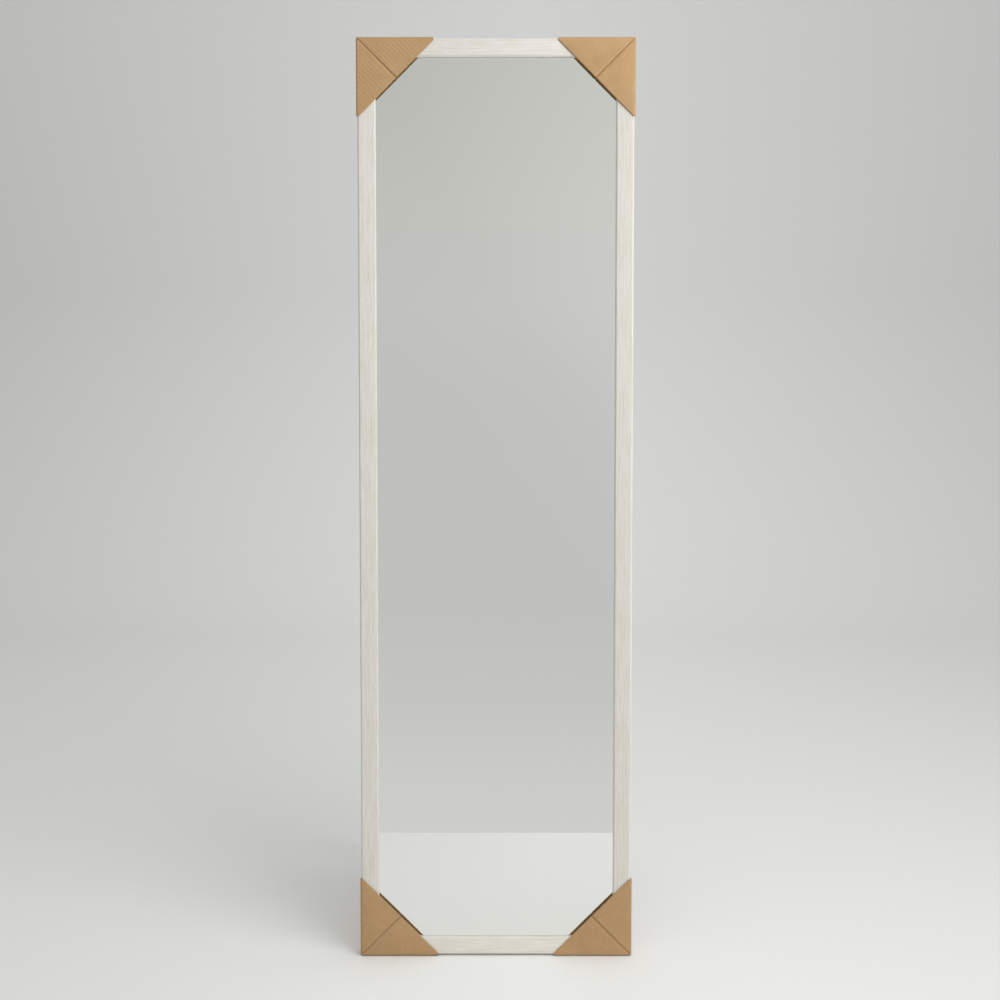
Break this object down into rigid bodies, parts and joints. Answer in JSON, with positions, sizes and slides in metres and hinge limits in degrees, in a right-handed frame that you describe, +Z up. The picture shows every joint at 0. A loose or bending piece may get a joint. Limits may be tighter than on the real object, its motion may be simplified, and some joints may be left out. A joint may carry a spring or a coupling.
{
  "type": "leaning floor mirror",
  "caption": "Tall narrow floor mirror in a pale timber frame, leaning on a folding rear easel, with a folded board protector on each corner.",
  "frame": {"origin": "on the floor, in the middle of the whole object's box, with the easel open", "axes": "+Z up, -Y the way the glass faces, +X to the right of someone who stands in front of the glass"},
  "size_m": [0.4806, 0.4362, 1.5987],
  "materials": {
    "whitewashed_timber": "whitewashed open grain, matt",
    "bare_timber": "planed, unfinished",
    "silvered_glass": "polished, slightly green",
    "hardboard": "pressed board, matt",
    "kraft_board": "brown corrugated board, ribs showing through the liner",
    "zinc_steel": "bright zinc plate",
    "foot_rubber": "matt black"
  },
  "bodies": {
    "mirror": {"frame_stile_left": "whitewashed_timber", "frame_stile_right": "whitewashed_timber", "frame_rail_top": "whitewashed_timber", "frame_rail_bottom": "whitewashed_timber", "mitre_key_top_left": "bare_timber", "mitre_key_top_right": "bare_timber", "mitre_key_bottom_left": "bare_timber", "mitre_key_bottom_right": "bare_timber", "mirror_glass": "silvered_glass", "backing_board": "hardboard", "backing_bead_left": "bare_timber", "backing_bead_right": "bare_timber", "backing_bead_bottom": "bare_timber", "backing_bead_top": "bare_timber", "hinge_batten": "whitewashed_timber", "batten_screw_left_lower": "zinc_steel", "batten_screw_left_upper": "zinc_steel", "batten_screw_right_lower": "zinc_steel", "batten_screw_right_upper": "zinc_steel", "hinge_left_frame_leaf": "zinc_steel", "hinge_left_pin": "zinc_steel", "hinge_left_frame_screw_inner": "zinc_steel", "hinge_left_frame_screw_outer": "zinc_steel", "hinge_right_frame_leaf": "zinc_steel", "hinge_right_pin": "zinc_steel", "hinge_right_frame_screw_inner": "zinc_steel", "hinge_right_frame_screw_outer": "zinc_steel"},
    "easel": {"easel_leg_left": "whitewashed_timber", "easel_leg_right": "whitewashed_timber", "easel_top_rail": "whitewashed_timber", "easel_stretcher": "whitewashed_timber", "easel_foot_left": "foot_rubber", "easel_foot_right": "foot_rubber", "easel_screw_top_rail_left": "zinc_steel", "easel_screw_top_rail_right": "zinc_steel", "easel_screw_stretcher_left": "zinc_steel", "easel_screw_stretcher_right": "zinc_steel", "hinge_left_easel_leaf": "zinc_steel", "hinge_left_easel_screw_inner": "zinc_steel", "hinge_left_easel_screw_outer": "zinc_steel", "hinge_right_easel_leaf": "zinc_steel", "hinge_right_easel_screw_inner": "zinc_steel", "hinge_right_easel_screw_outer": "zinc_steel"},
    "protector_top_left": {"corner_protector_top_left": "kraft_board"},
    "protector_top_right": {"corner_protector_top_right": "kraft_board"},
    "protector_bottom_left": {"corner_protector_bottom_left": "kraft_board"},
    "protector_bottom_right": {"corner_protector_bottom_right": "kraft_board"}
  },
  "joints": [
    {"name": "easel_fold", "type": "hinge", "parent": "mirror", "child": "easel", "pos_m": [0, -0.08359, 1.29672], "axis": [1, 0, 0], "range_deg": [-17, 0]},
    {"name": "protector_top_left_pull", "type": "slide", "parent": "mirror", "child": "protector_top_left", "axis": [-0.7071, 0.0616, 0.7044], "range_m": [0, 0.12]},
    {"name": "protector_top_right_pull", "type": "slide", "parent": "mirror", "child": "protector_top_right", "axis": [0.7071, 0.0616, 0.7044], "range_m": [0, 0.12]},
    {"name": "protector_bottom_left_pull", "type": "slide", "parent": "mirror", "child": "protector_bottom_left", "axis": [-1, 0, 0], "range_m": [0, 0.14]},
    {"name": "protector_bottom_right_pull", "type": "slide", "parent": "mirror", "child": "protector_bottom_right", "axis": [1, 0, 0], "range_m": [0, 0.14]}
  ]
}
